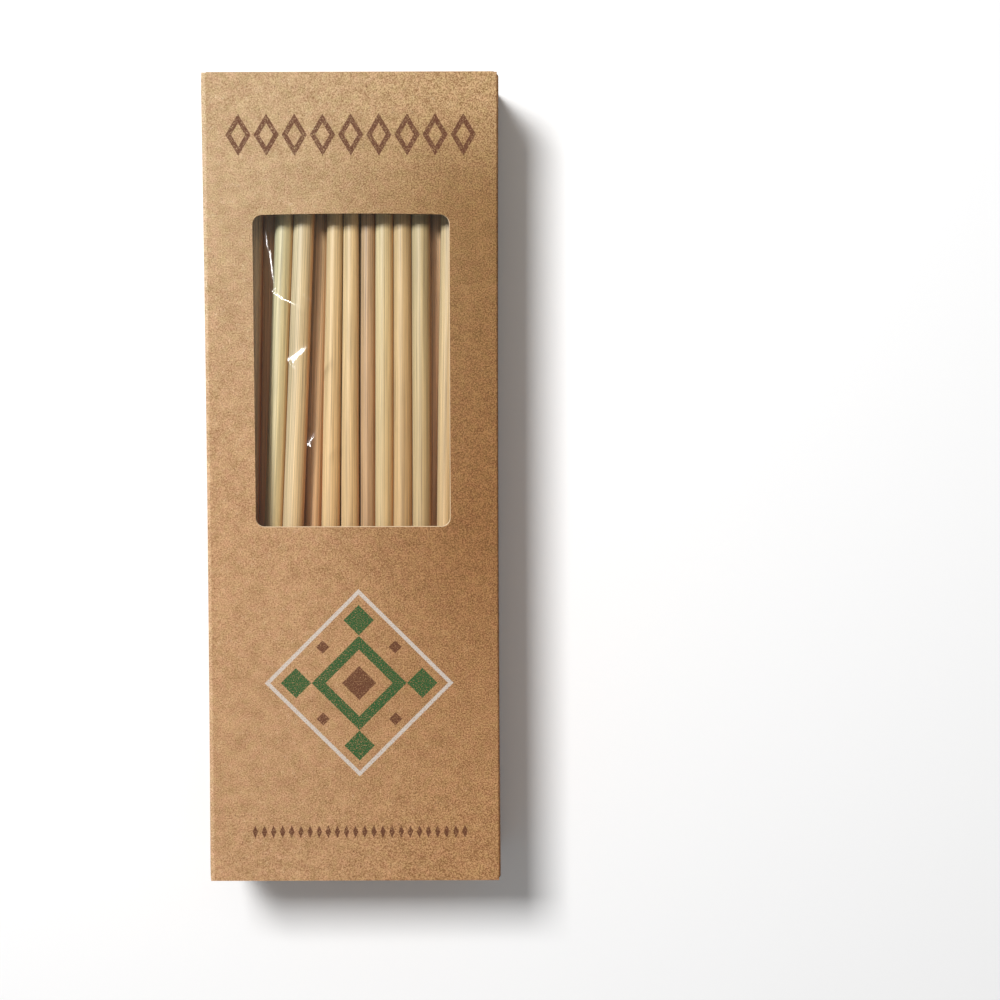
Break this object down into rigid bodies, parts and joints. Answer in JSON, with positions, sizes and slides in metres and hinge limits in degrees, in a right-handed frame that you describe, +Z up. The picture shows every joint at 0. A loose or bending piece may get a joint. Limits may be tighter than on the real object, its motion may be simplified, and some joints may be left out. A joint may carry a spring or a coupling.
{
  "type": "windowed carton of drinking straws",
  "caption": "Slim kraft folding carton with a clear film window in its front panel, tuck lids at both ends, filled with natural drinking straws.",
  "frame": {"origin": "under the middle of the back panel, on the surface that the carton lies on", "axes": "+X across the carton to the right as seen from the front, +Y along it towards its upper end, +Z up out of the front panel"},
  "size_m": [0.075, 0.207, 0.038],
  "materials": {
    "kraft_board": "uncoated brown kraft board, fine fibres, matte, with plain printed marks",
    "clear_film": "thin clear packing film, glossy, slightly rippled",
    "natural_straw": "natural cereal stem, pale straw yellow with fine lengthwise streaks, waxy semi-gloss"
  },
  "bodies": {
    "carton": {"carton_body": "kraft_board", "window_film": "clear_film", "straw_01": "natural_straw", "straw_02": "natural_straw", "straw_03": "natural_straw", "straw_04": "natural_straw", "straw_05": "natural_straw", "straw_06": "natural_straw", "straw_07": "natural_straw", "straw_08": "natural_straw", "straw_09": "natural_straw", "straw_10": "natural_straw", "straw_11": "natural_straw", "straw_12": "natural_straw", "straw_13": "natural_straw", "straw_14": "natural_straw", "straw_15": "natural_straw", "straw_16": "natural_straw", "straw_17": "natural_straw", "straw_18": "natural_straw", "straw_19": "natural_straw", "straw_20": "natural_straw", "straw_21": "natural_straw", "straw_22": "natural_straw", "straw_23": "natural_straw", "straw_24": "natural_straw", "straw_25": "natural_straw", "straw_26": "natural_straw", "straw_27": "natural_straw", "straw_row_01": "natural_straw", "straw_row_02": "natural_straw", "straw_row_03": "natural_straw", "straw_row_04": "natural_straw", "straw_row_05": "natural_straw"},
    "upper_lid": {"top_lid": "kraft_board"},
    "lower_lid": {"bottom_lid": "kraft_board"}
  },
  "joints": [
    {"name": "top_lid_hinge", "type": "hinge", "parent": "carton", "child": "upper_lid", "pos_m": [0, 0.10328, 0.00022], "axis": [-1, 0, 0], "range_deg": [0, 90]},
    {"name": "bottom_lid_hinge", "type": "hinge", "parent": "carton", "child": "lower_lid", "pos_m": [0, -0.10328, 0.00022], "axis": [1, 0, 0], "range_deg": [0, 90]}
  ]
}
